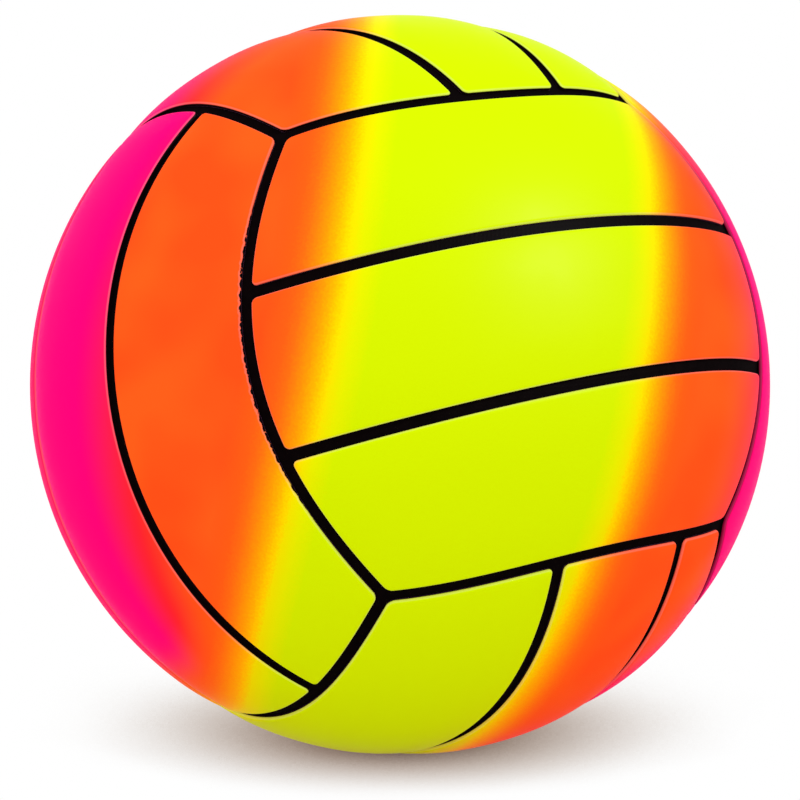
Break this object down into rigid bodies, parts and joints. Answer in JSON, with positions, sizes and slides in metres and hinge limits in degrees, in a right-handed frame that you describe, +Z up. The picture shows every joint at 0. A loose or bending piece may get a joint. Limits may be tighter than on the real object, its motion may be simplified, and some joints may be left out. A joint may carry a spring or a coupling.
{
  "type": "playground ball",
  "caption": "Air-filled playground ball with raised strip panels in sprayed neon colours, recessed black channels, a rubber carcass, an air bladder and a needle valve.",
  "frame": {"origin": "centre of the ball", "axes": "+Z is up as the ball lies in the picture, +X is to the camera's right and +Y is away from the camera"},
  "size_m": [0.2158, 0.2151, 0.216],
  "materials": {
    "cover_yellow": "satin soft vinyl, sprayed neon yellow",
    "cover_orange": "satin soft vinyl, sprayed neon orange",
    "cover_magenta": "satin soft vinyl, sprayed neon magenta",
    "carcass_rubber": "black rubber, dull",
    "bladder_butyl": "dark butyl rubber, dull",
    "valve_rubber": "soft black rubber, dull"
  },
  "bodies": {
    "root": {"front_upper_panel": "cover_yellow", "front_middle_panel": "cover_yellow", "front_lower_panel": "cover_yellow", "back_upper_panel": "cover_yellow", "back_middle_panel": "cover_yellow", "back_lower_panel": "cover_yellow", "left_front_panel": "cover_orange", "left_middle_panel": "cover_magenta", "left_rear_panel": "cover_orange", "right_front_panel": "cover_magenta", "right_middle_panel": "cover_magenta", "right_rear_panel": "cover_orange", "top_left_panel": "cover_orange", "top_middle_panel": "cover_yellow", "top_right_panel": "cover_yellow", "bottom_left_panel": "cover_yellow", "bottom_middle_panel": "cover_orange", "bottom_right_panel": "cover_orange", "carcass": "carcass_rubber", "bladder": "bladder_butyl", "valve_housing": "valve_rubber", "valve_core": "valve_rubber"}
  },
  "joints": []
}
